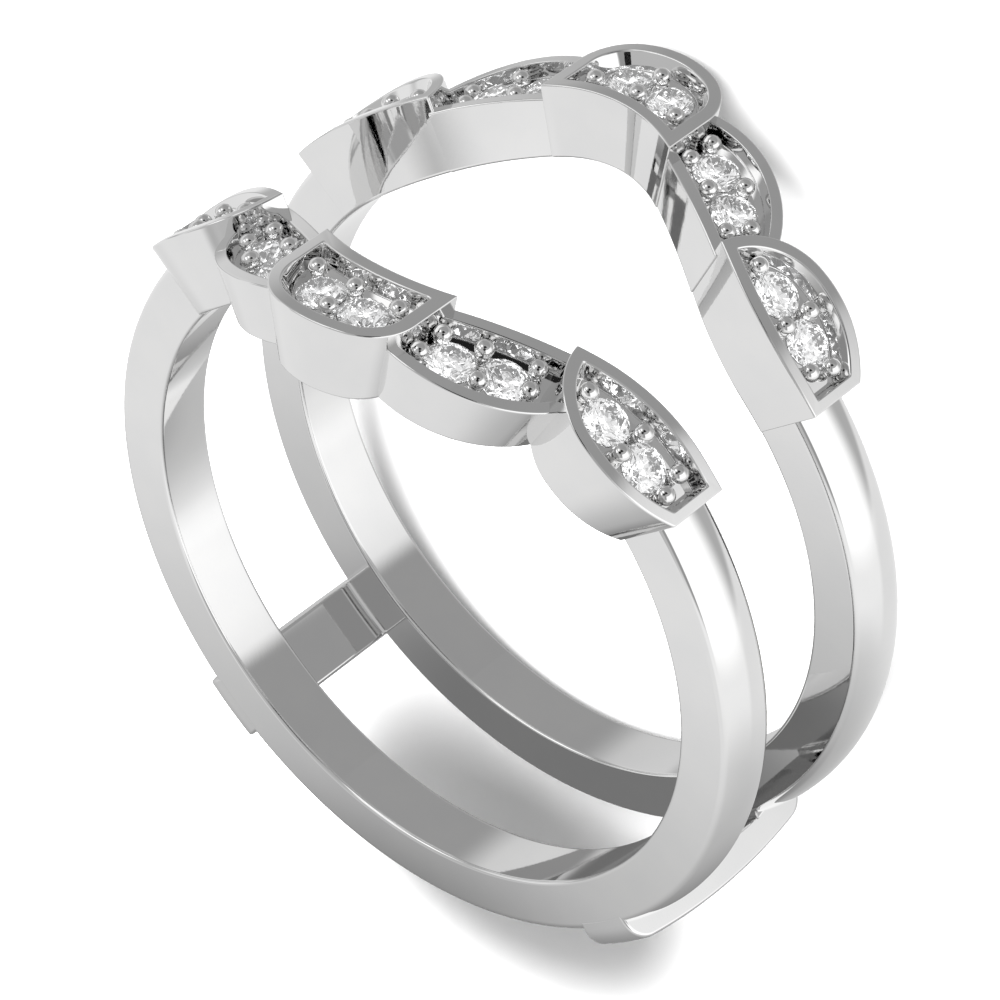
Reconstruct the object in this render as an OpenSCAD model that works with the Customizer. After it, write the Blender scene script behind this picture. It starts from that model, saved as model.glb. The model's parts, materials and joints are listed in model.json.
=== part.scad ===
// Two-band finger ring with leaf-shaped bead-set heads, lying on its side.
// It is drawn round its finger axis, with the head towards +Y and the front up,
// and then leaned over until it rests on one leaf and on the back of a band.
// Outlines of the head are drawn in an unrolled plane: u runs round the ring
// from the middle of the head, and z along the finger axis from mid-plane.

/* [Bands] */
// Radius of the finger hole
finger_r = 8.5; // [8.4:0.05:8.6]
// From mid-plane to the near side of a band
band_near = 1.757; // [1.7:0.01:1.8]
// From mid-plane to the far side of a band
band_far = 3.42; // [3.35:0.01:3.5]
// Radius where the flat side of a band ends
band_side_r = 9.732; // [9.6:0.01:9.8]
// Radius of the top of the dome
band_top_r = 10.13; // [10.1:0.01:10.2]
// Corner radius between the flat side and the dome
dome_corner_r = 0.22; // [0.18:0.01:0.26]
// How far beyond the bands the finger hole starts to widen
flare_after = 0.08; // [0.05:0.01:0.2]
// How much larger its radius is at the middle leaves' tips
flare = 0.05; // [0.03:0.01:0.1]

/* [Bridges] */
// Angle from the middle of the head to the first side of a bridge
bridge_from = 135.2; // [130:0.5:140]
// Width of a bridge round the ring, in degrees
bridge_span = 10; // [8:0.5:12]
// Half the length of a bridge along the finger
bridge_half = 3.44; // [3.43:0.01:3.5]
// Radius of the finger side of a bridge
bridge_in_r = 10.05; // [10.03:0.01:10.08]
// Radius of a bridge's outer surface at mid-plane
bridge_top_r = 10.88; // [10.8:0.01:10.95]
// Radius of the arch of that surface
bridge_arch_r = 17; // [14:0.5:20]
// Radius of the rounding at a bridge's ends
bridge_end_r = 0.7; // [0.6:0.05:0.8]

/* [Gap edge of the head] */
// Radius of the bow at the middle of the head
bow_r = 4.63; // [4.5:0.01:4.7]
// Its centre's distance from mid-plane, on the other side
bow_back = 0.3; // [0.25:0.01:0.35]
// Slope of the straight stretch after the bow, in degrees
bow_angle = 24.2; // [23:0.1:25]
// Radius of the curve that ends along the band
foot_r = 8.06; // [7.8:0.01:8.3]
// From mid-plane to the end of that curve
foot_near = 1.74; // [1.73:0.01:1.75]

/* [Middle leaf] */
// Half width of the middle leaf
mid_half = 2.04; // [2:0.01:2.1]
// From mid-plane to its tip
mid_tip = 6.95; // [6.9:0.01:7]
// Radius of its rounded end
mid_tip_r = 3; // [2.9:0.05:3.1]
// Radius of its two corners
mid_corner_r = 1.5; // [1.4:0.05:1.6]

/* [Second leaf] */
// Centre of its outer edge round the ring
second_u = 2.38; // [2.3:0.01:2.4]
// Radius of its outer edge
second_r = 3.71; // [3.7:0.01:3.85]
// From mid-plane to the widest point of that edge
second_tip = 6.12; // [6.05:0.01:6.15]
// Its gap edge's setback from the middle leaf's
second_setback = 0.04; // [0.03:0.01:0.06]
// How far that edge stands out from the end leaf's at the point
second_proud = 0.04; // [0.02:0.01:0.06]

/* [End leaf] */
// Place of its point round the ring
end_point_u = 4.74; // [4.7:0.01:4.8]
// Place of its end wall round the ring
end_wall_u = 9.45; // [9.4:0.01:9.5]
// Centre of its outer edge round the ring
end_u = 7; // [6.9:0.01:7.1]
// The same centre's distance from mid-plane
end_z = 0.75; // [0.7:0.01:0.8]
// Radius of its outer edge
end_r = 3.7; // [3.65:0.01:3.75]
// Radius of the nose between its point and its outer edge
end_nose_r = 2.15; // [2.1:0.05:2.25]

/* [Rims and floors] */
// Radius of the rims of the middle and end leaves
rim_r = 10.57; // [10.5:0.01:10.6]
// Radius of the rim of the second leaf
low_rim_r = 10.15; // [10.12:0.01:10.2]
// Radius of the floors of the middle and end leaves
floor_r = 10.12; // [10.1:0.01:10.15]
// Radius of the floor of the second leaf
low_floor_r = 9.72; // [9.7:0.01:9.75]
// Width of the rims round the outer edges
wall = 0.33; // [0.3:0.01:0.36]
// Width of the rims along the gap
gap_wall = 0.34; // [0.32:0.01:0.36]
// Width of the rims at the sides of the middle leaf
side_wall = 0.37; // [0.35:0.01:0.39]
// Width of the rims at the end walls
end_wall = 0.29; // [0.27:0.01:0.32]
// How far the inner sides of the outer walls lean in, from those rims to the floors
wall_lean = 0.2; // [0.1:0.01:0.22]

/* [Stones] */
// Diameter of a stone
stone_d = 1.22; // [1.16:0.01:1.23]
// Height of its girdle's middle over the floor
girdle_up = 0.02; // [0:0.005:0.03]
// Width of the table, of the diameter
table_share = 0.56; // [0.53:0.01:0.6]
// Height of the crown, of the diameter
crown_share = 0.155; // [0.14:0.005:0.165]
// Height of the girdle, of the diameter
girdle_share = 0.03; // [0.02:0.005:0.04]
// Depth of the pavilion, of the diameter
pavilion_share = 0.43; // [0.42:0.005:0.44]
// Clearance between a stone and its seat
seat_gap = 0.015; // [0.01:0.005:0.02]

/* [Beads] */
// Radius of a bead
bead_r = 0.22; // [0.2:0.005:0.23]
// Height of its centre above the floor
bead_h = 0.22; // [0.2:0.01:0.24]
// Radius of the post under it
post_r = 0.14; // [0.12:0.01:0.15]

/* [Hidden] */
// Radius at which the unrolled plane lies
unroll_r = 10.53;
// Sections along a leaf, and points round a dome or a bridge end
leaf_steps = 24;
arc_steps = 10;
// How far a solid runs past what cuts it or what it sinks into
over = 0.2;
// Width of the sharp point of the end leaf
point_w = 0.03;
// How far a seat's bore rises past the girdle, and a seat's clearance at the table's edge
bore_past = 0.01;
crown_gap = 0.03;
// How far the second leaf runs into the middle leaf and on under the end leaf's nose
sunk_in_wall = 0.32;
run_under_nose = 1.06;
// Facets of round things, which stay true circles
$fn = 48;

// Places in the unrolled plane: u round the ring, z from mid-plane, in a quarter
MID_STONES = [[0.676, 5.59]];
SECOND_STONES = [[2.94, 4.89], [4.16, 4.25]];
END_STONES = [[6.55, 3.18], [7.96, 3.08]];
MID_BEADS = [[1.28, 5.05]];
MID_LINE_BEADS = [[0, 5.14], [0, 6.08]];
SECOND_BEADS = [[2.29, 4.55], [2.29, 5.37], [3.27, 4.12], [3.82, 4.94], [4.5, 3.48], [4.81, 4.1]];
END_BEADS = [[5.75, 3.16], [7.3, 2.66], [7.35, 3.53], [8.55, 2.48], [8.77, 3.13]];

// Lean and height at which the ring lies on a leaf's foot and a band's edge
rest_tilt = atan((mid_tip - band_far) / (finger_r + flare + band_side_r));

// Each stone: u, z and the radius of its girdle's middle, for all four quarters
quarter_stones = [
    for (p = MID_STONES) [p[0], p[1], floor_r + girdle_up],
    for (p = SECOND_STONES) [p[0], p[1], low_floor_r + girdle_up],
    for (p = END_STONES) [p[0], p[1], floor_r + girdle_up]
];
STONES = [
    for (side = [1, -1]) for (turn = [1, -1]) for (s = quarter_stones)
        [turn * s[0], side * s[1], s[2]]
];
STONE_NAMES = [for (i = [1 : len(STONES)]) str("diamond_", i)];

function turn_of(u) = u / unroll_r * 180 / PI;
function at(r, u, z) = [r * sin(turn_of(u)), r * cos(turn_of(u)), z];
function circle_z(centre_z, r, du) = centre_z + sqrt(max(0, r * r - du * du));

// Gap edge of the head, moved by inset into the leaves
foot_u = bow_r * sin(bow_angle) + foot_r * sin(bow_angle)
    + (bow_r * cos(bow_angle) - bow_back - foot_near - foot_r * (1 - cos(bow_angle)))
    / tan(bow_angle);
function gap_edge(u, inset) =
    let (a = abs(u), bow = bow_r + inset, foot = foot_r - inset)
    a < bow * sin(bow_angle) ? circle_z(-bow_back, bow, a)
    : a < foot_u - foot * sin(bow_angle)
        ? bow * cos(bow_angle) - bow_back - (a - bow * sin(bow_angle)) * tan(bow_angle)
    : a < foot_u ? foot_near + foot_r - circle_z(0, foot, foot_u - a)
    : foot_near + inset;

// Outer edges of the leaves, moved by inset into them
corner_u = mid_half - mid_corner_r;
mid_tip_z = mid_tip - mid_tip_r;
corner_z = circle_z(mid_tip_z, mid_tip_r - mid_corner_r, corner_u);
function mid_edge(u, inset) =
    abs(u) < (mid_tip_r - inset) * corner_u / (mid_tip_r - mid_corner_r)
        ? circle_z(mid_tip_z, mid_tip_r - inset, u)
        : circle_z(corner_z, mid_corner_r - inset, abs(u) - corner_u);

function second_edge(u, inset) =
    circle_z(second_tip - second_r, second_r - inset, u - second_u);

// The second leaf's gap edge is straight, from behind one neighbour's to before the other's
second_gap_from = gap_edge(mid_half, 0) + second_setback;
second_gap_to = gap_edge(end_point_u, 0) - second_proud;
second_fall = (second_gap_from - second_gap_to) / (end_point_u - mid_half);
function second_gap(u, inset) =
    second_gap_from - (u - mid_half) * second_fall + inset * norm([1, second_fall]);

// The nose passes through the point and runs smoothly into the outer edge
nose_a = [end_point_u, gap_edge(end_point_u, 0)];
nose_b = [end_u, end_z];
nose_d = norm(nose_b - nose_a);
nose_along = (pow(end_nose_r, 2) - pow(end_r - end_nose_r, 2) + nose_d * nose_d) / (2 * nose_d);
nose_dir = (nose_b - nose_a) / nose_d;
nose_c = nose_a + nose_along * nose_dir
    + sqrt(pow(end_nose_r, 2) - nose_along * nose_along) * [-nose_dir[1], nose_dir[0]];
function end_edge(u, inset) =
    let (share = (end_r - inset) / (end_r - end_nose_r))
    u < nose_b[0] + (nose_c[0] - nose_b[0]) * share
        ? circle_z(nose_c[1], end_nose_r - inset, u - nose_c[0])
        : circle_z(end_z, end_r - inset, u - end_u);

// Where the end leaf's outer edge, moved by inset, meets the rim along the gap, by halving
function inner_point(from, to, inset, steps = 24) =
    let (mid = (from + to) / 2)
    steps == 0 ? to
    : end_edge(mid, inset) > gap_edge(mid, gap_wall)
        ? inner_point(from, mid, inset, steps - 1)
        : inner_point(mid, to, inset, steps - 1);

// Insets of the outer walls' inner sides at the floors, and past the rims as they lean on
foot_inset = wall + wall_lean;
past_inset = wall - wall_lean * over / (rim_r - floor_r);

// Places of the sections: closer together towards both ends, or towards the first
function both_ends(from, to) =
    [for (i = [0 : leaf_steps]) (from + to) / 2 - (to - from) / 2 * cos(180 * i / leaf_steps)];
function first_end(from, to) =
    [for (i = [0 : leaf_steps]) from + (to - from) * pow(i / leaf_steps, 1.5)];

// A solid between two radii, from rows of [u, low z, high z] at the first and at the second
module strip(low_rows, high_rows, r0, r1) {
    last = 4 * (len(low_rows) - 1);
    points = [for (i = [0 : len(low_rows) - 1]) let (s = low_rows[i], t = high_rows[i]) each
        [at(r0, s[0], s[1]), at(r0, s[0], s[2]), at(r1, t[0], t[2]), at(r1, t[0], t[1])]];
    sides = [for (b = [0 : 4 : last - 4]) for (k = [0 : 3])
        let (n = (k + 1) % 4, a = b + 4) each [[a + n, a + k, b + k], [a + n, b + k, b + n]]];
    ends = [[3, 2, 1, 0], [last, last + 1, last + 2, last + 3]];
    polyhedron(points, concat(sides, ends));
}

// Puts what points along +Z out along the radius at u and z
module outward(u, z) {
    rotate([0, 0, -turn_of(u)]) translate([0, 0, z]) rotate([-90, 0, 0]) children();
}

module both_sides() {
    children();
    mirror([0, 0, 1]) children();
}

module four_quarters() {
    both_sides() children();
    mirror([1, 0, 0]) both_sides() children();
}

// Lays what is drawn round the finger axis on its side
module at_rest() {
    rotate([rest_tilt, 0, 0]) children();
}

module mid_leaf() {
    rows = [for (u = both_ends(-mid_half, mid_half)) [u, gap_edge(u, 0), mid_edge(u, 0)]];
    strip(rows, rows, finger_r - over, rim_r);
}

function mid_rows(inset) =
    let (half = mid_half - side_wall)
    [for (u = both_ends(-half, half)) [u, gap_edge(u, gap_wall), mid_edge(u, inset)]];
module mid_hollow() {
    strip(mid_rows(foot_inset), mid_rows(past_inset), floor_r, rim_r + over);
}

// The second leaf starts inside the middle leaf's side wall and ends under the nose
second_from = mid_half - sunk_in_wall;
second_to = end_point_u + run_under_nose;
module second_leaf() {
    body = [for (u = both_ends(second_from, second_to))
        [u, second_gap(u, 0), second_edge(u, 0)]];
    hollow = [for (u = both_ends(second_from + over / 2, second_to - over))
        [u, second_gap(u, gap_wall), second_edge(u, wall)]];
    difference() {
        strip(body, body, finger_r - over, low_rim_r);
        strip(hollow, hollow, low_floor_r, low_rim_r + over);
    }
}

module end_leaf() {
    rows = [for (u = first_end(end_point_u, end_wall_u))
        [u, gap_edge(u, 0), max(end_edge(u, 0), gap_edge(u, 0) + point_w)]];
    strip(rows, rows, finger_r - over, rim_r);
}

function end_rows(inset) =
    let (from = inner_point(end_point_u, end_u, inset))
    [for (u = first_end(from, end_wall_u - end_wall))
        [u, gap_edge(u, gap_wall), max(end_edge(u, inset), gap_edge(u, gap_wall) + point_w)]];
module end_hollow() {
    strip(end_rows(foot_inset), end_rows(past_inset), floor_r, rim_r + over);
}

// Section of a band: radius and z, with a corner arc on each side of a flatter top arc
band_mid = (band_near + band_far) / 2;
band_half = (band_far - band_near) / 2;
corner_y = band_half - dome_corner_r;
dome_r = (corner_y * corner_y + pow(band_top_r - band_side_r, 2) - pow(dome_corner_r, 2))
    / (2 * (band_top_r - band_side_r - dome_corner_r));
dome_c = band_top_r - dome_r;
dome_turn = atan(corner_y / (band_side_r - dome_c));
function band_section() = concat(
    [[finger_r - over, band_near], [band_side_r, band_near]],
    [for (i = [1 : arc_steps]) let (a = -90 + (90 - dome_turn) * i / arc_steps)
        [band_side_r, band_mid - corner_y] + dome_corner_r * [cos(a), sin(a)]],
    [for (i = [1 : 2 * arc_steps - 1]) let (a = -dome_turn + dome_turn * i / arc_steps)
        [dome_c, band_mid] + dome_r * [cos(a), sin(a)]],
    [for (i = [0 : arc_steps]) let (a = dome_turn + (90 - dome_turn) * i / arc_steps)
        [band_side_r, band_mid + corner_y] + dome_corner_r * [cos(a), sin(a)]],
    [[finger_r - over, band_far]]
);

// A band runs round the base from one end wall to the other
band_from = turn_of(end_wall_u - end_wall / 2);
module band() {
    rotate([0, 0, 90 + band_from])
        rotate_extrude(angle = 360 - 2 * band_from, $fn = 96) polygon(band_section());
}

// Section of a bridge: an arch that rounds down to the two ends
bridge_arch_c = bridge_top_r - bridge_arch_r;
bridge_end_z = bridge_half - bridge_end_r;
bridge_end_c = circle_z(bridge_arch_c, bridge_arch_r - bridge_end_r, bridge_end_z);
bridge_turn = atan(bridge_end_z / (bridge_end_c - bridge_arch_c));
function bridge_half_section() = concat(
    [for (i = [0 : arc_steps]) let (a = bridge_turn * i / arc_steps)
        [bridge_arch_c, 0] + bridge_arch_r * [cos(a), sin(a)]],
    [for (i = [1 : arc_steps]) let (a = bridge_turn + (90 - bridge_turn) * i / arc_steps)
        [bridge_end_c, bridge_end_z] + bridge_end_r * [cos(a), sin(a)]]
);
module bridge() {
    half = bridge_half_section();
    other = [for (i = [len(half) - 1 : -1 : 1]) [half[i][0], -half[i][1]]];
    low = band_side_r;
    section = concat(other, half, [
        [low, bridge_half], [low, band_far - over], [bridge_in_r, band_far - over],
        [bridge_in_r, -band_far + over], [low, -band_far + over], [low, -bridge_half]
    ]);
    rotate([0, 0, 90 - bridge_from - bridge_span])
        rotate_extrude(angle = bridge_span, $fn = 96) polygon(section);
}

// The finger hole is straight through both bands and widens a little under the leaves
module finger_hole() {
    straight = band_far + flare_after;
    reach = mid_tip + over;
    reach_r = finger_r + flare * (reach - straight) / (mid_tip - straight);
    rotate_extrude($fn = 96) polygon([
        [0, -reach], [reach_r, -reach], [finger_r, -straight],
        [finger_r, straight], [reach_r, reach], [0, reach]
    ]);
}

// Room for a stone with its clearance: a cone under it, a short bore round its girdle
// and a cone over its crown. The last two also trim the beads beside it.
module seat(s) {
    r = stone_d / 2 + seat_gap;
    half_girdle = girdle_share * stone_d / 2;
    under = half_girdle + seat_gap;
    deep = pavilion_share * stone_d * r / (stone_d / 2) + seat_gap;
    crown_h = crown_share * stone_d + seat_gap;
    outward(s[0], s[1]) {
        translate([0, 0, s[2] - under]) cylinder(r = r, h = under + half_girdle + bore_past);
        translate([0, 0, s[2] - under - deep]) cylinder(r1 = 0, r2 = r, h = deep);
        translate([0, 0, s[2] + half_girdle])
            cylinder(r1 = r, r2 = table_share * stone_d / 2 + crown_gap, h = crown_h);
    }
}

module beads(places, base_r) {
    for (p = places) outward(p[0], p[1]) {
        translate([0, 0, base_r + bead_h]) sphere(r = bead_r);
        translate([0, 0, base_r - over]) cylinder(r = post_r, h = over + bead_h);
    }
}

module all_beads() {
    four_quarters() {
        beads(MID_BEADS, floor_r);
        beads(SECOND_BEADS, low_floor_r);
        beads(END_BEADS, floor_r);
    }
    both_sides() beads(MID_LINE_BEADS, floor_r);
}

module bands_and_cups() {
    both_sides() {
        band();
        mid_leaf();
    }
    four_quarters() {
        second_leaf();
        end_leaf();
    }
    bridge();
    mirror([1, 0, 0]) bridge();
}

module ring_body() {
    color("silver") at_rest() difference() {
        union() {
            difference() {
                bands_and_cups();
                both_sides() mid_hollow();
                four_quarters() end_hollow();
            }
            all_beads();
        }
        for (s = STONES) seat(s);
        finger_hole();
    }
}

// Round brilliant, in shares of its radius and with the girdle's middle at zero:
// rings of points from the table down, joined by flat facets
function ring_of(count, r, z, turn = 0) =
    [for (i = [0 : count - 1]) [r * cos(360 * i / count + turn), r * sin(360 * i / count + turn), z]];
module brilliant() {
    half_girdle = girdle_share;
    crown = 2 * crown_share;
    slope = crown / (1 - table_share);
    star_r = (table_share * cos(22.5) + 1) / 2;
    star_z = half_girdle + crown - slope * (star_r * cos(22.5) - table_share);
    depth = 2 * pavilion_share;
    low_r = 0.24;
    low_z = -half_girdle - depth * (1 - low_r * cos(22.5));
    points = concat(
        ring_of(8, table_share, half_girdle + crown),
        ring_of(8, star_r, star_z, 22.5),
        ring_of(16, 1, half_girdle),
        ring_of(16, 1, -half_girdle),
        ring_of(8, low_r, low_z, 22.5),
        [[0, 0, -half_girdle - depth]]
    );
    table = [[for (i = [7 : -1 : 0]) i]];
    upper = [for (i = [0 : 7]) let (
        j = (i + 1) % 8,
        before = 8 + (i + 7) % 8,
        star = 8 + i,
        g = 16 + 2 * i,
        g_next = 17 + 2 * i,
        g_far = 16 + (2 * i + 2) % 16
    ) each [[i, j, star], [i, star, g, before], [star, g_next, g], [star, g_far, g_next]]];
    girdle = [for (i = [0 : 15]) let (j = (i + 1) % 16) [16 + i, 16 + j, 32 + j, 32 + i]];
    lower = [for (i = [0 : 7]) let (
        before = 48 + (i + 7) % 8,
        low = 48 + i,
        g = 32 + 2 * i,
        g_next = 33 + 2 * i,
        g_far = 32 + (2 * i + 2) % 16
    ) each [[g, low, 56, before], [g, g_next, low], [g_next, g_far, low]]];
    polyhedron(points, concat(table, upper, girdle, lower));
}

module diamond(s) {
    color("white") at_rest() outward(s[0], s[1]) translate([0, 0, s[2]])
        scale(stone_d / 2) brilliant();
}

ring_body();
for (i = [0 : len(STONES) - 1])
    diamond(STONES[i]);
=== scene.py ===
import json
import math

import bpy
import numpy as np
from mathutils import Matrix, Vector
from mathutils.geometry import delaunay_2d_cdt

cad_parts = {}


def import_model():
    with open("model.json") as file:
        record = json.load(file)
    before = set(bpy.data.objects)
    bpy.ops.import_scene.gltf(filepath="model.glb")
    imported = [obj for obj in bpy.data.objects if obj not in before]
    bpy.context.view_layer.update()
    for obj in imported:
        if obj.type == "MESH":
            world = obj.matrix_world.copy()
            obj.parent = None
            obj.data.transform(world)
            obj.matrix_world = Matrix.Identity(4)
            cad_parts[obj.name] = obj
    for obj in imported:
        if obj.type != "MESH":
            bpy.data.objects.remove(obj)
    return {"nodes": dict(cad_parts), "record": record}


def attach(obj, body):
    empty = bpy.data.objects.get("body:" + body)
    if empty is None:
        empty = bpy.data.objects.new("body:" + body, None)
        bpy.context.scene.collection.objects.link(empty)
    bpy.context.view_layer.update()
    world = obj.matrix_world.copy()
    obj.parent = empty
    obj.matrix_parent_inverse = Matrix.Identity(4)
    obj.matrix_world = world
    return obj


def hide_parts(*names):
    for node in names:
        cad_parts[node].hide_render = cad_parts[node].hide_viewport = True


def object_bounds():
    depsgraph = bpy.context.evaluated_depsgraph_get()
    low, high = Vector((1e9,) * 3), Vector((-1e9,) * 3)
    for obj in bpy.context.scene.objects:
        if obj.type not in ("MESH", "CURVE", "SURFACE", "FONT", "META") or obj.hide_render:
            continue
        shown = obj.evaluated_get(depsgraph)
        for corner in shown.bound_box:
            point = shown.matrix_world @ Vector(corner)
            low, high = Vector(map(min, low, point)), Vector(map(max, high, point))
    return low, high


# The finger ring's finish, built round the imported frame. Sizes are in millimetres
# until a mesh is made, and places on the ring are given in its own unrolled plane:
# u round the ring from the middle of the head, z along the finger axis from
# mid-plane, and r from that axis.
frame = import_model()
cad_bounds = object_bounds()
MM = 0.001

# Place of the ring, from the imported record: the finger hole and its axis
hole = frame["record"]["mounts"][0]
FINGER_R = hole["dims"]["r_mm"]
HOLE_CENTRE = Vector(hole["pos_m"]) / MM
AXIS = Vector(hole["axis"]).normalized()
HEAD_WAY = Vector((1, 0, 0)).cross(-AXIS).normalized()

# Bands
BAND_NEAR, BAND_FAR = 1.757, 3.42
BAND_SIDE_R, BAND_TOP_R, DOME_CORNER_R = 9.732, 10.13, 0.22
BAND_EDGE_R = 0.1
# From mid-plane to where the finger hole starts to widen, and by how much it does
FLARE_FROM, FLARE = BAND_FAR + 0.08, 0.05

# Bridges: where they start, in degrees from the middle of the head, how many degrees
# they span and half their length
BRIDGE_FROM, BRIDGE_SPAN, BRIDGE_HALF = 135.2, 10, 3.424
BRIDGE_IN_R, BRIDGE_TOP_R, BRIDGE_ARCH_R, BRIDGE_END_R = 10.05, 10.88, 17, 0.7
BRIDGE_EDGE_R = 0.09
# The bridges' feet fill the slots over the domes from this far in from the bands'
# near sides
BRIDGE_FOOT = 0.1

# Gap edge of the head
BOW_R, BOW_BACK, BOW_ANGLE = 4.63, 0.3, math.radians(24.2)
FOOT_R, FOOT_NEAR = 8.06, 1.74

# Leaves
MID_HALF, MID_TIP, MID_TIP_R, MID_CORNER_R = 2.04, 6.95, 3, 1.5
SECOND_U, SECOND_R, SECOND_TIP = 2.38, 3.71, 6.12
SECOND_SETBACK, SECOND_PROUD = 0.04, 0.04
END_POINT_U, END_WALL_U, END_U, END_Z, END_R, END_NOSE_R = 4.74, 9.45, 7, 0.75, 3.7, 2.15
RIM_R, LOW_RIM_R, FLOOR_R, LOW_FLOOR_R = 10.57, 10.15, 10.12, 9.72
WALL, GAP_WALL, SIDE_WALL, END_WALL = 0.33, 0.34, 0.37, 0.29
# How far the second leaf runs into its neighbours' walls, and its walls' width there
HIDDEN, HIDDEN_WALL = 0.15, 0.08
# How far the inner sides of the outer walls and of the gap walls lean in, from the
# rims down to the floors
LEAN, GAP_LEAN = 0.2, 0.13
# Where the middle leaf's outer wall changes from its width at the sides to that at
# the tip, and over how far
TIP_WALL_FROM, TIP_WALL_OVER = 5.1, 0.8
# Rounding of the rims' outer and inner edges, the finger side, the floor and corners
RIM_OUT_R, RIM_IN_R, UNDER_R, FILLET_R, CORNER_R = 0.045, 0.03, 0.09, 0.015, 0.03
# An extra row of points this far beyond a rounding keeps the flat beside it flat
HOLD = 0.012
# Spacing of the points on a cup's floor, and how far they keep from its edges
FLOOR_STEP, FLOOR_CLEAR = 0.18, 0.08

# Stones and beads, for a quarter of the ring: u and z
STONE_D, GIRDLE_UP, GIRDLE_SHARE, PAVILION_SHARE, SEAT_GAP = 1.22, 0.02, 0.03, 0.43, 0.015
MID_STONES = [(0.676, 5.59)]
SECOND_STONES = [(2.94, 4.89), (4.16, 4.25)]
END_STONES = [(6.55, 3.18), (7.96, 3.08)]
MID_BEADS = [(1.28, 5.05)]
MID_LINE_BEADS = [(0, 5.14), (0, 6.08)]
SECOND_BEADS = [
    (2.29, 4.55), (2.29, 5.37), (3.27, 4.12), (3.82, 4.94), (4.5, 3.48), (4.81, 4.1)
]
END_BEADS = [(5.75, 3.16), (7.3, 2.66), (7.35, 3.53), (8.55, 2.48), (8.77, 3.13)]
# A bead is widest at BEAD_H over the floor, with these heights over and under that
BEAD_R, BEAD_H, BEAD_OVER, BEAD_UNDER, POST_R = 0.243, 0.24, 0.215, 0.225, 0.14
# The flare of its foot: how much wider than the post, at which height over the floor
POST_FLARE = [(0.08, -0.03), (0.03, 0.01), (0, 0.045)]

# The radius at which u is measured
UNROLL_R = 10.53


def ring_way(across, head, axis):
    """A vector given across the ring, towards its head and along the finger axis."""
    return Vector((across, 0, 0)) + head * HEAD_WAY + axis * AXIS


def place(r, u, z):
    """Arrays of ring places as points of the frame, in metres."""
    turn = np.asarray(u) / UNROLL_R
    r, z = np.broadcast_to(r, turn.shape), np.broadcast_to(z, turn.shape)
    x, y = r * np.sin(turn), r * np.cos(turn)
    across, head, axis = np.array((1.0, 0, 0)), np.array(HEAD_WAY), np.array(AXIS)
    points = x[..., None] * across + y[..., None] * head + z[..., None] * axis
    return (points + np.array(HOLE_CENTRE)) * MM


def finger_side(z):
    """Radius of the finger hole at z: straight through the bands, then widening a little."""
    return FINGER_R + FLARE * np.maximum(np.abs(z) - FLARE_FROM, 0) / (MID_TIP - FLARE_FROM)


class Shell:
    """Points and faces of one mesh, gathered a patch at a time, and the numbers of the
    points whose normal is exactly the radius."""

    def __init__(self):
        self.points, self.faces, self.radial = [], [], []

    def add(self, points):
        """Adds points and gives their numbers, in the same layout."""
        points = np.asarray(points, float)
        first = len(self.points)
        self.points.extend(points.reshape(-1, 3))
        return first + np.arange(points[..., 0].size).reshape(points.shape[:-1])

    def join(self, rows, close=True):
        """Joins rows of point numbers, each with the next one."""
        for low, high in zip(rows[:-1], rows[1:]):
            count = len(low)
            for k in range(count if close else count - 1):
                n = (k + 1) % count
                self.faces.append((low[k], low[n], high[n], high[k]))

    def fan(self, row, tip, flip=False):
        """Joins a closed row to one point."""
        for k in range(len(row)):
            n = (k + 1) % len(row)
            self.faces.append((row[n], row[k], tip) if flip else (row[k], row[n], tip))

    def mesh(self, name):
        mesh = bpy.data.meshes.new(name)
        faces = [tuple(map(int, face)) for face in self.faces]
        mesh.from_pydata([tuple(point) for point in self.points], [], faces)
        mesh.validate()
        mesh.update()
        for polygon in mesh.polygons:
            polygon.use_smooth = True
        if self.radial:
            normals = [vertex.normal.copy() for vertex in mesh.vertices]
            for number in self.radial:
                out = mesh.vertices[number].co / MM - HOLE_CENTRE
                normals[number] = (out - out.dot(AXIS) * AXIS).normalized()
            mesh.normals_split_custom_set_from_vertices(normals)
        piece = bpy.data.objects.new(name, mesh)
        bpy.context.scene.collection.objects.link(piece)
        return piece


def smooth_least(values, blend):
    """The least of several arrays, rounded off where two are about equal."""
    least = values[0]
    for value in values[1:]:
        near = np.maximum(blend - np.abs(least - value), 0) / blend
        least = np.minimum(least, value) - near * near * blend / 4
    return least


# Depths in the unrolled plane: how far a place lies inside an edge

FOOT_U = (BOW_R + FOOT_R) * math.sin(BOW_ANGLE) + (
    BOW_R * math.cos(BOW_ANGLE) - BOW_BACK - FOOT_NEAR - FOOT_R * (1 - math.cos(BOW_ANGLE))
) / math.tan(BOW_ANGLE)


def gap_edge(u):
    """z of the head's gap edge at u."""
    u = abs(u)
    if u < BOW_R * math.sin(BOW_ANGLE):
        return math.sqrt(BOW_R**2 - u * u) - BOW_BACK
    if u < FOOT_U - FOOT_R * math.sin(BOW_ANGLE):
        along = u - BOW_R * math.sin(BOW_ANGLE)
        return BOW_R * math.cos(BOW_ANGLE) - BOW_BACK - along * math.tan(BOW_ANGLE)
    if u < FOOT_U:
        return FOOT_NEAR + FOOT_R - math.sqrt(FOOT_R**2 - (FOOT_U - u) ** 2)
    return FOOT_NEAR


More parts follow.
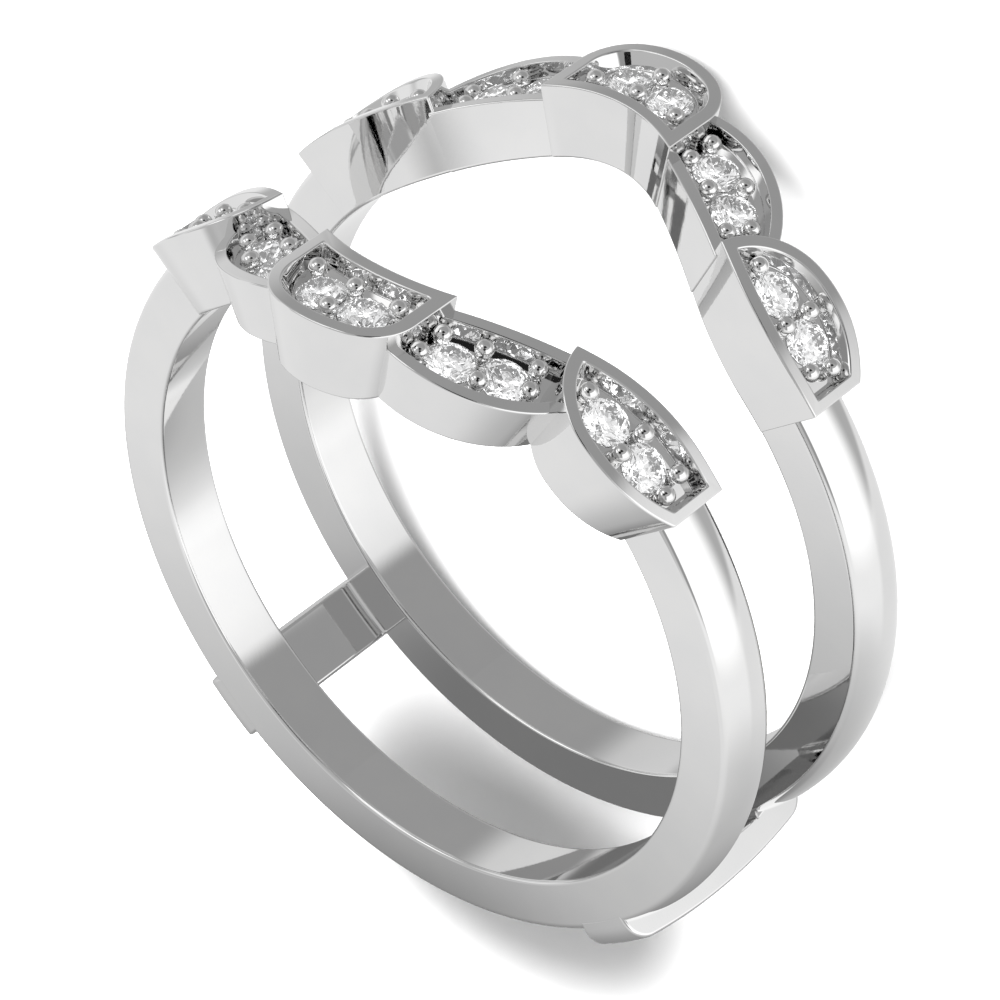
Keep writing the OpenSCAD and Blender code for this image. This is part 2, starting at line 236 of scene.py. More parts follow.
def gap_depth(u, z):
    u = np.abs(u)
    sin, cos = math.sin(BOW_ANGLE), math.cos(BOW_ANGLE)
    bow = np.hypot(u, z + BOW_BACK) - BOW_R
    straight = (u - BOW_R * sin) * sin + (z - BOW_R * cos + BOW_BACK) * cos
    foot_z = FOOT_NEAR + FOOT_R
    foot = FOOT_R - np.hypot(FOOT_U - u, foot_z - z)
    depth = np.where(np.arctan2(u, z + BOW_BACK) < BOW_ANGLE, bow, straight)
    in_foot = np.arctan2(FOOT_U - u, foot_z - z) < BOW_ANGLE
    depth = np.where(in_foot & (z < foot_z), foot, depth)
    return np.where(u > FOOT_U, z - FOOT_NEAR, depth)


def mid_depth(u, z):
    """Depth in the middle leaf's outer edge and sides, which run into each other."""
    corner_u = MID_HALF - MID_CORNER_R
    tip_z = MID_TIP - MID_TIP_R
    corner_z = tip_z + math.sqrt((MID_TIP_R - MID_CORNER_R) ** 2 - corner_u**2)
    u = np.abs(u)
    tip = MID_TIP_R - np.hypot(u, z - tip_z)
    corner = MID_CORNER_R - np.hypot(u - corner_u, z - corner_z)
    in_corner = u * (corner_z - tip_z) > (z - tip_z) * corner_u
    side = MID_HALF - u
    return np.where(z < corner_z, side, np.where(in_corner & (u > corner_u), corner, tip))


# Depth in each wall over the wall's width, for the three kinds of leaf, at a share of
# the way down from the rim, over which the walls widen by their lean

def mid_walls(u, z, down=0):
    share = np.clip((z - TIP_WALL_FROM) / TIP_WALL_OVER, 0, 1)
    outer_wall = SIDE_WALL + (WALL + LEAN * down - SIDE_WALL) * share * share * (3 - 2 * share)
    return [gap_depth(u, z) / (GAP_WALL + GAP_LEAN * down), mid_depth(u, z) / outer_wall]


NOSE_A = np.array((END_POINT_U, gap_edge(END_POINT_U)))
NOSE_B = np.array((END_U, END_Z))
NOSE_D = np.linalg.norm(NOSE_B - NOSE_A)
NOSE_ALONG = (END_NOSE_R**2 - (END_R - END_NOSE_R) ** 2 + NOSE_D**2) / (2 * NOSE_D)
NOSE_WAY = (NOSE_B - NOSE_A) / NOSE_D
NOSE_C = (
    NOSE_A
    + NOSE_ALONG * NOSE_WAY
    + math.sqrt(END_NOSE_R**2 - NOSE_ALONG**2) * np.array((-NOSE_WAY[1], NOSE_WAY[0]))
)


def end_depth(u, z):
    """Depth in the end leaf's nose and outer edge, which run into each other."""
    nose = END_NOSE_R - np.hypot(u - NOSE_C[0], z - NOSE_C[1])
    outer = END_R - np.hypot(u - END_U, z - END_Z)
    way = NOSE_C - NOSE_B
    right_of_line = (u - NOSE_B[0]) * way[1] - (z - NOSE_B[1]) * way[0] > 0
    return np.where(right_of_line, outer, nose)


def end_walls(u, z, down=0):
    gap = gap_depth(u, z) / (GAP_WALL + GAP_LEAN * down)
    return [gap, end_depth(u, z) / (WALL + LEAN * down), (END_WALL_U - u) / END_WALL]


SECOND_FROM_Z = gap_edge(MID_HALF) + SECOND_SETBACK
SECOND_TO_Z = gap_edge(END_POINT_U) - SECOND_PROUD
SECOND_FALL = math.atan((SECOND_FROM_Z - SECOND_TO_Z) / (END_POINT_U - MID_HALF))


def second_walls(u, z, down=0):
    sin, cos = math.sin(SECOND_FALL), math.cos(SECOND_FALL)
    gap = (u - MID_HALF) * sin + (z - SECOND_FROM_Z) * cos
    outer = SECOND_R - np.hypot(u - SECOND_U, z - SECOND_TIP + SECOND_R)
    to_middle = HIDDEN - mid_depth(u, z)
    to_end = HIDDEN - end_depth(u, z)
    gap_wall = GAP_WALL + GAP_LEAN * down
    return [gap / gap_wall, outer / WALL, to_middle / HIDDEN_WALL, to_end / HIDDEN_WALL]


def ray_reach(walls, centre, turns, level, down=0):
    """How far from the centre each ray goes before the walls' share falls to a level."""
    near, far = np.zeros(len(turns)), np.full(len(turns), 4.0)
    blend = CORNER_R / WALL
    for _ in range(34):
        half = (near + far) / 2
        u, z = centre[0] + half * np.cos(turns), centre[1] + half * np.sin(turns)
        inside = smooth_least(walls(u, z, down), blend) > level
        near, far = np.where(inside, half, near), np.where(inside, far, half)
    return near


def even_turns(walls, centre, count, corner_weight=0.35):
    """Ray directions spread by the outline's length and by how much it turns."""
    fine = np.linspace(0, 2 * math.pi, 6001)
    reach = ray_reach(walls, centre, fine, 0)
    step = np.diff(np.stack([reach * np.cos(fine), reach * np.sin(fine)], 1), axis=0)
    length = np.linalg.norm(step, axis=1)
    way = np.unwrap(np.arctan2(step[:, 1], step[:, 0]))
    bend = np.abs(np.diff(way, append=way[:1] + 2 * math.pi))
    weight = length / length.sum() + corner_weight * bend / bend.sum()
    total = np.concatenate([[0], np.cumsum(weight)])
    return np.interp(np.arange(count) / count * total[-1], total, fine)


def quarter_arc(steps):
    """Cosine and sine pairs over a quarter turn."""
    return [(math.cos(a), math.sin(a)) for a in np.linspace(0, math.pi / 2, steps + 1)]


def leaf(shell, walls, centre, rim, floor, stones, side, turn, rays=300):
    """A cup with a flat rim, rounded edges and a floor with seats."""
    turns = even_turns(walls, centre, rays)
    mirrored = side * turn < 0

    def ring(r, u, z):
        numbers = shell.add(place(r, turn * u, side * z))
        return numbers[::-1] if mirrored else numbers

    def outline(depth, share=1, down=0):
        reach = share * ray_reach(walls, centre, turns, depth / WALL, down)
        return centre[0] + reach * np.cos(turns), centre[1] + reach * np.sin(turns)

    # The finger side, from one point through a few steps to the wall's rounded foot:
    # depth in from the outline, share of the way from the centre, and rise
    under = [(UNDER_R + HOLD, share, 0) for share in (0.2, 0.4, 0.6, 0.8, 0.95, 1)]
    under += [(UNDER_R * (1 - s), 1, UNDER_R * (1 - c)) for c, s in quarter_arc(5)]
    under += [(0, 1, UNDER_R + HOLD)]
    rows = []
    for depth, share, rise in under:
        u, z = outline(depth, share)
        rows.append(ring(finger_side(z) + rise, u, z))
    centre_u, centre_z = np.array([turn * centre[0]]), side * centre[1]
    middle = shell.add(place(finger_side(centre[1]), centre_u, centre_z))[0]
    shell.fan(rows[0], middle, flip=True)

    # The wall, its rim and its inner side down to the floor: depth and radius
    upper = [(0, rim - RIM_OUT_R - HOLD)]
    upper += [(RIM_OUT_R * (1 - c), rim - RIM_OUT_R * (1 - s)) for c, s in quarter_arc(6)]
    upper += [(RIM_OUT_R + HOLD, rim), (WALL - RIM_IN_R - HOLD, rim)]
    upper += [(WALL - RIM_IN_R * (1 - s), rim - RIM_IN_R * (1 - c)) for c, s in quarter_arc(4)]
    upper += [(WALL, rim + (floor - rim) * k / 8) for k in range(1, 8)]
    upper += [
        (WALL + FILLET_R * (1 - c), floor + FILLET_R * (1 - s)) for c, s in quarter_arc(3)
    ]
    for depth, r in upper:
        u, z = outline(depth, down=(rim - r) / (rim - floor))
        rows.append(ring(r, u, z))
    shell.join(rows)

    edge = np.stack(outline(upper[-1][0], down=1), 1)
    if mirrored:
        edge = edge[::-1]
    floor_with_seats(shell, rows[-1], edge, floor, stones, side, turn)


def floor_with_seats(shell, edge_numbers, edge, floor, stones, side, turn):
    """Fills a cup's floor round the seats of its stones, and makes the seats."""
    seat_r = STONE_D / 2 + SEAT_GAP
    angles = np.linspace(0, 2 * math.pi, 65)[:-1]
    holes = []
    for u, z in stones:
        across = seat_r * np.cos(angles)
        turned = np.arctan2(across, np.sqrt(floor**2 - across**2))
        holes.append(np.stack([u + UNROLL_R * turned, z + seat_r * np.sin(angles)], 1))
    lo, hi = edge.min(0), edge.max(0)
    lines = [np.arange(lo[k], hi[k], FLOOR_STEP) for k in (0, 1)]
    grid = np.stack(np.meshgrid(*lines), -1).reshape(-1, 2)
    clear = [p for p in grid if far_from(p, edge, FLOOR_CLEAR) and is_inside(p, edge)]
    for u, z in stones:
        reach = seat_r + FLOOR_CLEAR
        clear = [p for p in clear if math.hypot(p[0] - u, p[1] - z) > reach]
    loops = [edge] + holes
    points = np.concatenate(loops + [np.array(clear).reshape(-1, 2)])
    edges, first = [], 0
    for loop in loops:
        edges += [(first + k, first + (k + 1) % len(loop)) for k in range(len(loop))]
        first += len(loop)
    made = delaunay_2d_cdt([Vector(p) for p in points], edges, [], 0, 1e-7)
    found, faces = np.array([tuple(p) for p in made[0]]), made[2]
    numbers = np.empty(len(found), int)
    numbers[: len(edge)] = edge_numbers
    rest = found[len(edge):]
    numbers[len(edge):] = shell.add(place(floor, turn * rest[:, 0], side * rest[:, 1]))
    shell.radial.extend(map(int, numbers))
    mirrored = side * turn < 0
    for face in faces:
        middle = found[list(face)].mean(0)
        if not is_inside(middle, edge) or any(is_inside(middle, h) for h in holes):
            continue
        a, b, c = (found[k] for k in face)
        ahead = (b[0] - a[0]) * (c[1] - a[1]) - (b[1] - a[1]) * (c[0] - a[0]) > 0
        order = list(face) if ahead == mirrored else list(face)[::-1]
        shell.faces.append(tuple(numbers[k] for k in order))
    first = len(edge)
    for u, z in stones:
        rim_row = numbers[first : first + len(angles)]
        first += len(angles)
        seat(shell, rim_row, u, z, floor + GIRDLE_UP, angles, side, turn)


def seat(shell, rim_row, u, z, girdle_r, angles, side, turn):
    """A blind seat under a stone: a short straight wall and a cone."""
    seat_r = STONE_D / 2 + SEAT_GAP
    under = girdle_r - GIRDLE_SHARE * STONE_D / 2 - SEAT_GAP
    deep = PAVILION_SHARE * STONE_D * seat_r / (STONE_D / 2) + SEAT_GAP
    rows = [rim_row]
    # The shares of the seat's radius that are left at the rows, from its top down
    for share in (1, 0.96, 0.5, 0.04):
        across, up = share * seat_r * np.cos(angles), share * seat_r * np.sin(angles)
        out = np.full(len(angles), under - (1 - share) * deep)
        row_u = turn * (u + UNROLL_R * np.arctan2(across, out))
        rows.append(shell.add(place(np.hypot(out, across), row_u, side * (z + up))))
    if side * turn < 0:
        rows = [row[::-1] for row in rows]
    shell.join(rows[::-1])
    tip = shell.add(place(under - deep, np.array([turn * u]), side * z))[0]
    shell.fan(rows[-1], tip, flip=True)


def is_inside(point, loop):
    """Whether a point lies inside a closed loop."""
    a, b = loop, np.roll(loop, -1, axis=0)
    crosses = (a[:, 1] > point[1]) != (b[:, 1] > point[1])
    a, way, up = a[crosses], (b - a)[crosses], point[1] - a[crosses][:, 1]
    return bool(np.sum(point[0] < way[:, 0] * up / way[:, 1] + a[:, 0]) % 2)


def far_from(point, loop, distance):
    return np.min(np.hypot(loop[:, 0] - point[0], loop[:, 1] - point[1])) > distance


def both_heads(make):
    """Calls make with the signs of z and u for each of the four quarters."""
    for side in (1, -1):
        for turn in (1, -1):
            make(side, turn)


def leaves():
    shell = Shell()
    for side in (1, -1):
        stones = [(turn * u, z) for turn in (1, -1) for u, z in MID_STONES]
        leaf(shell, mid_walls, (0, 5.45), RIM_R, FLOOR_R, stones, side, 1)
    both_heads(lambda side, turn: leaf(
        shell, second_walls, (3.6, 4.35), LOW_RIM_R, LOW_FLOOR_R, SECOND_STONES, side, turn))
    both_heads(lambda side, turn: leaf(
        shell, end_walls, (7.1, 3.05), RIM_R, FLOOR_R, END_STONES, side, turn))
    return shell.mesh("leaf_cups")


def dome_section():
    """A band's section from its finger side round the dome and back, as r and z."""
    middle, half = (BAND_NEAR + BAND_FAR) / 2, (BAND_FAR - BAND_NEAR) / 2
    corner = half - DOME_CORNER_R
    rise = BAND_TOP_R - BAND_SIDE_R
    dome_r = (corner**2 + rise**2 - DOME_CORNER_R**2) / (2 * (rise - DOME_CORNER_R))
    dome_c = BAND_TOP_R - dome_r
    lean = math.atan(corner / (BAND_SIDE_R - dome_c))
    edge = BAND_EDGE_R
    right = [(FINGER_R, half / 2), (FINGER_R, half - edge - HOLD)]
    right += [
        (FINGER_R + edge * (1 - c), half - edge * (1 - s)) for c, s in quarter_arc(6)
    ]
    right += [(FINGER_R + edge + HOLD, half), (BAND_SIDE_R - HOLD, half)]
    for a in np.linspace(math.pi / 2, lean, 9):
        out, along = DOME_CORNER_R * math.cos(a), DOME_CORNER_R * math.sin(a)
        right.append((BAND_SIDE_R + out, corner + along))
    for a in np.linspace(lean, 0, 17)[1:-1]:
        right.append((dome_c + dome_r * math.cos(a), dome_r * math.sin(a)))
    left = [(r, -z) for r, z in right[::-1]]
    whole = [(FINGER_R, 0)] + right + [(BAND_TOP_R, 0)] + left
    return [(r, middle + z) for r, z in whole]


def bands():
    """Both bands, each from one end wall of its head round the base to the other."""
    shell = Shell()
    r, z = np.array(dome_section()).T
    start = END_WALL_U - END_WALL / 2
    stations = np.linspace(start, 2 * math.pi * UNROLL_R - start, 421)
    for side in (1, -1):
        rows = [shell.add(place(r, np.full(len(r), u), side * z)) for u in stations]
        if side < 0:
            rows = [row[::-1] for row in rows]
        shell.join(rows)
        shell.faces.append(tuple(rows[0][::-1]))
        shell.faces.append(tuple(rows[-1]))
    return shell.mesh("bands")


def bridge_section(depth):
    """A bridge's section with its outer side moved in by depth, as r and z."""
    arch_c = BRIDGE_TOP_R - BRIDGE_ARCH_R
    end_z = BRIDGE_HALF - BRIDGE_END_R
    end_c = arch_c + math.sqrt((BRIDGE_ARCH_R - BRIDGE_END_R) ** 2 - end_z**2)
    lean = math.atan(end_z / (end_c - arch_c))
    arch_r, end_r = BRIDGE_ARCH_R - depth, BRIDGE_END_R - depth
    right = [
        (arch_c + arch_r * math.cos(a), arch_r * math.sin(a))
        for a in np.linspace(0, lean, 22)[1:]
    ]
    right += [
        (end_c + end_r * math.cos(a), end_z + end_r * math.sin(a))
        for a in np.linspace(lean, math.pi / 2, 15)[1:]
    ]
    half, foot = BRIDGE_HALF - depth, BAND_NEAR + BRIDGE_FOOT
    low, inner = BAND_SIDE_R + depth / 2, BRIDGE_IN_R + depth / 2
    right += [(end_c - HOLD, half), (low + HOLD, half), (low, half), (low, foot)]
    right += [(inner, foot), (inner, BAND_NEAR)]
    left = [(r, -z) for r, z in right[::-1]]
    return [(arch_c + arch_r, 0)] + right + [(inner, 0)] + left


def bridges():
    shell = Shell()
    first = math.radians(BRIDGE_FROM) * UNROLL_R
    last = math.radians(BRIDGE_FROM + BRIDGE_SPAN) * UNROLL_R
    for turn in (1, -1):
        rows = []
        for u, depth in rounded_ends(first, last, BRIDGE_EDGE_R):
            r, z = np.array(bridge_section(depth)).T
            rows.append(shell.add(place(r, np.full(len(r), turn * u), z)))
        if turn < 0:
            rows = [row[::-1] for row in rows]
        shell.join(rows)
        shell.faces.append(tuple(rows[0][::-1]))
        shell.faces.append(tuple(rows[-1]))
    return shell.mesh("bridges")


def rounded_ends(first, last, radius):
    """Stations along a bar whose two ends are rounded, with the depth at each."""
    rising = [(first, radius + HOLD)]
    rising += [(first + radius * (1 - c), radius * (1 - s)) for c, s in quarter_arc(6)]
    middle = np.linspace(first + 2 * radius, last - 2 * radius, 9)
    flat = [first + radius + HOLD, *middle, last - radius - HOLD]
    falling = [(first + last - s, d) for s, d in rising[::-1]]
    return rising + [(s, 0) for s in flat] + falling


def beads():
    shell = Shell()
    places = []
    for side in (1, -1):
        places += [(u, side * z, FLOOR_R) for u, z in MID_LINE_BEADS]
        for turn in (1, -1):
            places += [(turn * u, side * z, FLOOR_R) for u, z in MID_BEADS + END_BEADS]
            places += [(turn * u, side * z, LOW_FLOOR_R) for u, z in SECOND_BEADS]
    for u, z, floor in places:
        bead(shell, u, z, floor)
    return shell.mesh("beads")


def bead(shell, u, z, floor, sides=28):
    """A ball with a flatter top on a flared post, standing out along the radius."""
    angles = np.linspace(0, 2 * math.pi, sides, endpoint=False)
    leave = math.asin(POST_R / BEAD_R)
    profile = [(POST_R + wider, height) for wider, height in POST_FLARE]
    for a in np.linspace(math.pi - leave, 0, 17)[:-1]:
        height = BEAD_OVER if math.cos(a) > 0 else BEAD_UNDER
        profile.append((BEAD_R * math.sin(a), BEAD_H + height * math.cos(a)))
    rows = []
    for across, height in profile:
        side, up = across * np.cos(angles), across * np.sin(angles)
        out = np.full(sides, floor + height)
        turned = np.arctan2(side, out)
        rows.append(shell.add(place(np.hypot(out, side), u + UNROLL_R * turned, z + up)))
    shell.join([row[::-1] for row in rows])
    tip = shell.add(place(floor + BEAD_H + BEAD_OVER, np.array([u]), z))[0]
    foot = shell.add(place(floor + profile[0][1], np.array([u]), z))[0]
    shell.fan(rows[-1][::-1], tip)
    shell.fan(rows[0][::-1], foot, flip=True)


def polished_metal():
    """White metal with the faint cloudiness and fine marks that polishing leaves."""
    material = bpy.data.materials.new("polished_white_metal")
    material.use_nodes = True
    graph = Graph(material.node_tree)
    shader = graph.nodes["Principled BSDF"]
    place_on = graph.nodes.new("ShaderNodeTexCoord").outputs["Object"]
    clouds = graph.noise(place_on, 700, 3)
    marks = graph.noise(graph.stretched(place_on, (1, 1, 6)), 5000, 4)
    dim, bright = (0.79, 0.79, 0.79), (0.812, 0.81, 0.807)
    graph.colour_between(shader.inputs["Base Color"], clouds, dim, bright)
    graph.put(shader.inputs["Roughness"], graph.mix(graph.rise(marks, 0.35, 0.75), 0.026, 0.05))
    graph.bump(shader, marks, 3e-7)
    shader.inputs["Metallic"].default_value = 1
    return material


def diamond_material():
    """Clear stone whose facets keep the faintest trace of their polishing."""
    material = bpy.data.materials.new("diamond")
    material.use_nodes = True
    graph = Graph(material.node_tree)
    shader = graph.nodes["Principled BSDF"]
    place_on = graph.nodes.new("ShaderNodeTexCoord").outputs["Object"]
    clouds = graph.noise(place_on, 2500, 2)
    lines = graph.noise(graph.stretched(place_on, (1, 8, 1)), 9000, 2)
    dim, bright = (0.985, 0.99, 1.0), (1.0, 1.0, 1.0)
    graph.colour_between(shader.inputs["Base Color"], clouds, dim, bright)
    graph.put(shader.inputs["Roughness"], graph.mix(graph.rise(lines, 0.4, 0.8), 0.0, 0.012))
    graph.bump(shader, lines, 5e-8)
    shader.inputs["IOR"].default_value = 2.42
    shader.inputs["Transmission Weight"].default_value = 1
    # Stands for the light that more bounces would bring to the darkest facets
    shader.inputs["Emission Color"].default_value = (1, 1, 1, 1)
    shader.inputs["Emission Strength"].default_value = 0.04
    return material


# The photograph's camera, given by the ring: across it, towards its head and along the
# finger axis. Its lens and sensor are in millimetres, as is its place.
CAMERA_SPOT = (57.249, 73.801, 66.927)
CAMERA_RIGHT, CAMERA_DOWN = (0.76017, -0.0007, -0.64973), (0.41443, -0.76964, 0.48572)
CAMERA_AHEAD = (-0.50039, -0.63848, -0.58478)
LENS, SENSOR = 164.6, 36


def camera():
    data = bpy.data.cameras.new("camera")
    data.lens, data.sensor_width = LENS, SENSOR
    data.clip_start, data.clip_end = 0.005, 10
    piece = bpy.data.objects.new("camera", data)
    right, down = ring_way(*CAMERA_RIGHT), ring_way(*CAMERA_DOWN)
    ahead = ring_way(*CAMERA_AHEAD)
    turn = Matrix((right, -down, -ahead)).transposed()
    spot = (ring_way(*CAMERA_SPOT) + HOLE_CENTRE) * MM
    piece.matrix_world = Matrix.Translation(spot) @ turn.to_4x4()
    bpy.context.scene.collection.objects.link(piece)
    bpy.context.scene.camera = piece


# The corners of a square, and half the floor's side in metres
SQUARE = [(-1, -1), (1, -1), (1, 1), (-1, 1)]
FLOOR_HALF = 1.5


def sheet(name, points):
    """One flat face round points in metres, with a material of its own."""
    mesh = bpy.data.meshes.new(name)
    mesh.from_pydata([tuple(point) for point in points], [], [tuple(range(len(points)))])
    piece = bpy.data.objects.new(name, mesh)
    bpy.context.scene.collection.objects.link(piece)
    material = bpy.data.materials.new(name)
    material.use_nodes = True
    mesh.materials.append(material)
    return piece, material


def matt(material, grey, roughness=1):
    """Gives a sheet's material an even grey."""
    shader = material.node_tree.nodes["Principled BSDF"]
    shader.inputs["Base Color"].default_value = (grey, grey, grey, 1)
    shader.inputs["Roughness"].default_value = roughness
    return shader


def ellipse(middle, across, up, count):
    """Points in metres round an ellipse, from its middle and its two half widths."""
    turns = np.linspace(0, 2 * math.pi, count, endpoint=False)
    return [(middle + math.cos(t) * across + math.sin(t) * up) * MM for t in turns]


def floor():
    height = cad_bounds[0].z
    piece, material = sheet(
        "floor", [(a * FLOOR_HALF, b * FLOOR_HALF, height) for a, b in SQUARE]
    )
    material.name = "pale_floor"
    matt(material, 0.9, 0.6)
    # The ring mirrors the studio rather than the floor
    piece.visible_glossy = False


# A grey card below the base, seen only in the metal, with a painted shade on it that
# stands for the ring's shade: how far it lies from the finger axis, half its side, and
# the two half widths of the painted shade.
# The shade is darkest in its middle, where this share of the light is left, and lifts
# over two ranges of its half widths, half of it over each.
CARD_R, CARD_HALF = 10.25, 60
SHADE_ACROSS, SHADE_ALONG = 8, 4
SHADE_SHARE, SHADE_NEAR, SHADE_WIDE = 0.24, (0.5, 1.65), (0.8, 4.2)


def shade_card():
    """A painted shade that stands for the ring's shade on a surface under its base, which the
    metal mirrors.
    """
    ways = [ring_way(a * CARD_HALF, -CARD_R, b * CARD_HALF) for a, b in SQUARE]
    piece, material = sheet("shade_card", [(HOLE_CENTRE + way) * MM for way in ways])
    graph = Graph(material.node_tree)
    spot = graph.nodes.new("ShaderNodeTexCoord").outputs["Object"]
    across = graph.math("DIVIDE", graph.dot(spot, (1, 0, 0)), SHADE_ACROSS * MM)
    along = graph.math("DIVIDE", graph.dot(spot, AXIS), SHADE_ALONG * MM)
    squares = [graph.math("MULTIPLY", value, value) for value in (across, along)]
    far = graph.math("SQRT", graph.math("ADD", *squares))
    clear = graph.math("ADD", graph.rise(far, *SHADE_NEAR), graph.rise(far, *SHADE_WIDE))
    # Painted shade: the share of light let through, least in the card's middle
    tint = graph.mix(graph.math("MULTIPLY", clear, 0.5), SHADE_SHARE, 1.0)
    through = graph.nodes.new("ShaderNodeBsdfTransparent")
    graph.put(through.inputs["Color"], tint)
    graph.links.new(through.outputs[0], graph.nodes["Material Output"].inputs["Surface"])
    graph.nodes.remove(graph.nodes["Principled BSDF"])
    piece.visible_camera = piece.visible_diffuse = piece.visible_shadow = False
    piece.visible_transmission = False


# A small black card in front of the head, seen only in the metal: its middle, across
# the ring, towards its head and along the finger axis, and its radius
FLAG_SPOT, FLAG_R = (10, 17.5, 11), 3


def head_flag():
    """The dark patch that beads and cup walls mirror from where the camera stands."""
    spot = ring_way(*FLAG_SPOT)
    across = spot.orthogonal().normalized()
    up = spot.cross(across).normalized()
    piece, material = sheet(
        "head_flag", ellipse(HOLE_CENTRE + spot, FLAG_R * across, FLAG_R * up, 32)
    )
    matt(material, 0.01).inputs["Specular IOR Level"].default_value = 0
    piece.visible_camera = piece.visible_diffuse = piece.visible_shadow = False
    piece.visible_transmission = False


# A card that only shades the floor, below the base: its middle in the frame, its height
# over the floor and its half widths
BASE_SPOT, BASE_UP, BASE_HALF = (-1.5, -13.5), 3, (7, 4.5)


def base_flag():
    """Keeps light off the floor by the base, for the soft shade that grounds the ring."""
    middle = Vector((*BASE_SPOT, cad_bounds[0].z / MM + BASE_UP))
    across, up = Vector((BASE_HALF[0], 0, 0)), Vector((0, BASE_HALF[1], 0))
    piece, material = sheet("base_flag", ellipse(middle, across, up, 48))
    matt(material, 0.3)
    piece.visible_camera = piece.visible_glossy = piece.visible_transmission = False


class Graph:
    """Math nodes of one node tree, made as formulas."""

    def __init__(self, tree):
        self.tree, self.nodes, self.links = tree, tree.nodes, tree.links

    def put(self, socket, value):
        if isinstance(value, bpy.types.NodeSocket):
            self.links.new(value, socket)
        else:
            socket.default_value = value

    def math(self, operation, *values):
        node = self.nodes.new("ShaderNodeMath")
        node.operation = operation
        for socket, value in zip(node.inputs, values):
            self.put(socket, value)
        return node.outputs[0]

    def dot(self, vector, way):
        node = self.nodes.new("ShaderNodeVectorMath")
        node.operation = "DOT_PRODUCT"
        self.put(node.inputs[0], vector)
        node.inputs[1].default_value = way
        return node.outputs["Value"]

    def rise(self, value, low, high):
        """From 0 at low to 1 at high, smoothly."""
        node = self.nodes.new("ShaderNodeMapRange")
        node.interpolation_type = "SMOOTHSTEP"
        self.put(node.inputs["Value"], value)
        self.put(node.inputs["From Min"], low)
        self.put(node.inputs["From Max"], high)
        return node.outputs["Result"]

    def between(self, value, start, full, fall, end):
        """Rises from 0 to 1 between the first two places and falls between the last two."""
        up, down = self.rise(value, start, full), self.rise(value, fall, end)
        return self.math("MULTIPLY", up, self.math("SUBTRACT", 1.0, down))

    def mix(self, share, first, second):
        """The first value where share is 0 and the second where it is 1."""
        change = self.math("SUBTRACT", second, first)
        return self.math("MULTIPLY_ADD", change, share, first)

    def stretched(self, vector, scales):
        node = self.nodes.new("ShaderNodeVectorMath")
        node.operation = "MULTIPLY"
        self.put(node.inputs[0], vector)
        node.inputs[1].default_value = scales
        return node.outputs["Vector"]

    def noise(self, vector, scale, detail):
        node = self.nodes.new("ShaderNodeTexNoise")
        self.put(node.inputs["Vector"], vector)
        node.inputs["Scale"].default_value = scale
        node.inputs["Detail"].default_value = detail
        return node.outputs["Fac"]

    def colour_between(self, socket, share, low, high):
        """A colour that follows share from low, at 0.35, to high, at 0.65."""
        ramp = self.nodes.new("ShaderNodeValToRGB")
        for end, spot, colour in zip(ramp.color_ramp.elements, (0.35, 0.65), (low, high)):
            end.position, end.color = spot, (*colour, 1)
        self.put(ramp.inputs["Fac"], share)
        self.put(socket, ramp.outputs["Color"])

    def bump(self, shader, height, distance):
        node = self.nodes.new("ShaderNodeBump")
        node.inputs["Distance"].default_value = distance
        self.put(node.inputs["Height"], height)
        self.put(shader.inputs["Normal"], node.outputs["Normal"])


# Light panels round the ring, each laid over those before it: brightness, then where
# it starts to rise, is full, starts to fall and is gone, in turn (0 in front of the
# ring, 90 at its right) and in height, both in degrees
PANELS = [
    ("back_low", 0.88, (122, 134, 182, 183), (-46, -38, -14, -6)),
    ("left_low", 0.9, (-133, -117, -53, -37), (-52, -40, -19, -13)),
    ("left_side", 0.78, (-136, -122, -67, -57), (-6, 2, 27, 35)),
    ("left_strip", 0.94, (-65, -60, -51, -46), (-16, -8, 20, 28)),
    ("front", 0.57, (-51, -41, 35, 45), (-14, -2, 24, 36)),
    ("dark_flag", 0.36, (31, 36, 54, 59), (-8, 0, 46, 52)),
    ("back_high", 0.36, (116, 130, 182, 183), (30, 35, 91, 92)),
    ("left_high", 0.37, (-183, -182, -128, -112), (20, 34, 91, 92)),
    ("small_lamp", 1.5, (-62, -56, -16, -8), (30, 34, 48, 52)),
    ("roof_lamp", 1.5, (-72, -62, -8, 4), (57, 61, 74, 80)),
    ("roof_flag", 0.02, (28, 40, 92, 104), (52, 57, 76, 82)),
    ("front_low", 1.03, (8, 28, 122, 134), (-44, -24, -12, -2)),
    ("main", 1.35, (53, 60, 112, 150), (-20, -6, 28, 34)),
]
# The studio behind the panels, from below up: the brightness at the bottom, then each
# next one, with the heights between which it takes over
LOWEST = 0.78
LEVELS = [(0.88, -80, -50), (0.9, -50, -25), (0.5, -17, -9), (0.47, 30, 60)]
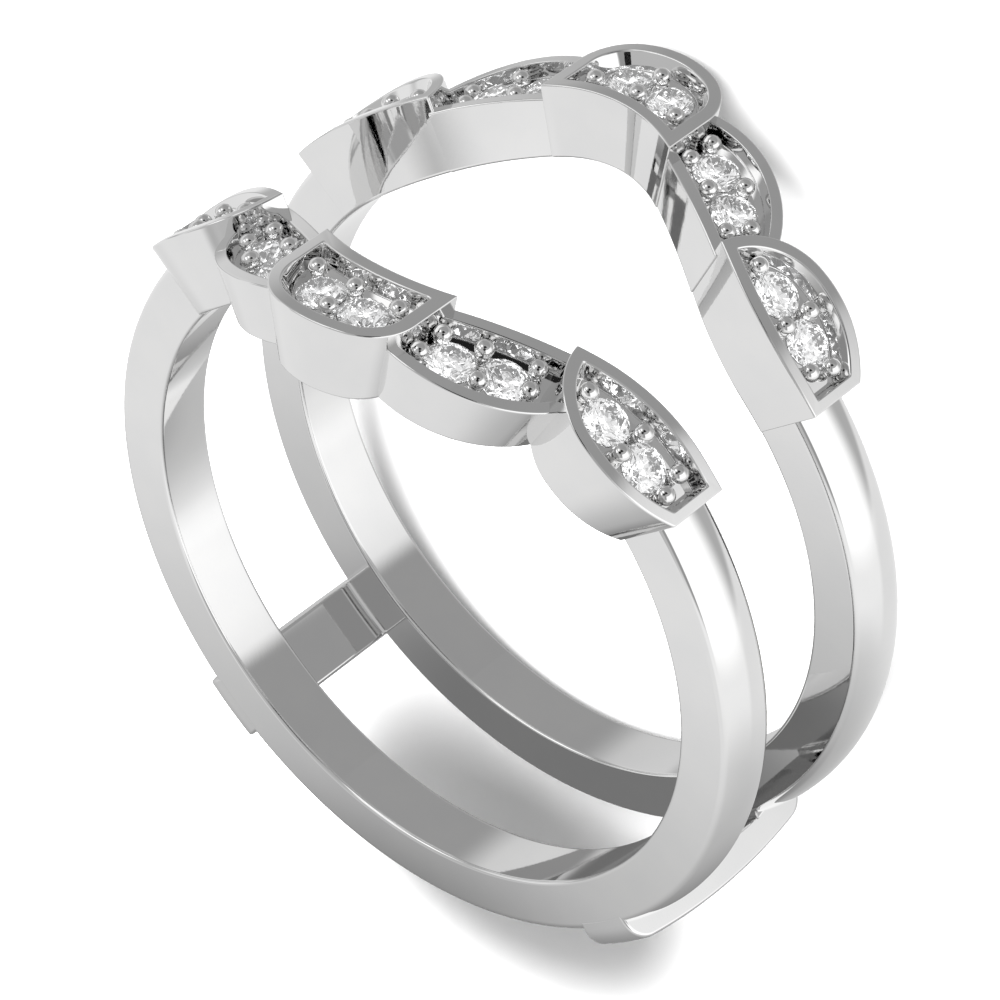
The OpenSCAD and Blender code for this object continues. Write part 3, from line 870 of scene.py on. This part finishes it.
# The stones find the studio brighter than the metal does: by this much, times that
STONE_FILL, STONE_SPARKLE = 0.4, 1.0


def world():
    scene = bpy.context.scene
    scene.view_settings.view_transform = "Standard"
    scene.world = bpy.data.worlds.new("studio")
    scene.world.use_nodes = True
    graph = Graph(scene.world.node_tree)
    way = graph.nodes.new("ShaderNodeTexCoord").outputs["Generated"]
    height = graph.math("DEGREES", graph.math("ARCSINE", graph.dot(way, HEAD_WAY)))
    turn = graph.math(
        "DEGREES", graph.math("ARCTAN2", graph.dot(way, (1, 0, 0)), graph.dot(way, AXIS))
    )
    light = LOWEST
    for value, start, full in LEVELS:
        light = graph.mix(graph.rise(height, start, full), light, value)
    for _, value, across, upward in PANELS:
        share = graph.math(
            "MULTIPLY", graph.between(turn, *across), graph.between(height, *upward)
        )
        light = graph.mix(share, light, value)
    through_stone = graph.nodes.new("ShaderNodeLightPath").outputs["Is Transmission Ray"]
    in_stone = graph.math("MULTIPLY_ADD", light, STONE_SPARKLE, STONE_FILL)
    light = graph.mix(through_stone, light, in_stone)
    graph.put(graph.nodes["Background"].inputs["Color"], light)


# A light over the ring: its place and width in metres, and its watts
LAMP_SPOT, LAMP_WIDTH, LAMP_ENERGY = (0.02, 0.03, 0.3), 0.5, 4


def overhead_light():
    """A wide soft light that whitens the floor, and that the metal doesn't mirror."""
    data = bpy.data.lights.new("overhead", "AREA")
    data.shape, data.size = "DISK", LAMP_WIDTH
    data.energy = LAMP_ENERGY
    piece = bpy.data.objects.new("overhead", data)
    piece.location = LAMP_SPOT
    piece.rotation_euler = Vector(LAMP_SPOT).to_track_quat("Z", "Y").to_euler()
    piece.visible_glossy = False
    piece.visible_transmission = False
    bpy.context.scene.collection.objects.link(piece)


metal = polished_metal()
for piece in (bands(), bridges(), leaves(), beads()):
    piece.data.materials.append(metal)
    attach(piece, "root")
    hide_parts("ring_body")

stone_look = diamond_material()
for name, node in frame["nodes"].items():
    if name.startswith("diamond"):
        node.data.materials.clear()
        node.data.materials.append(stone_look)

floor()
shade_card()
head_flag()
base_flag()
world()
overhead_light()
camera()
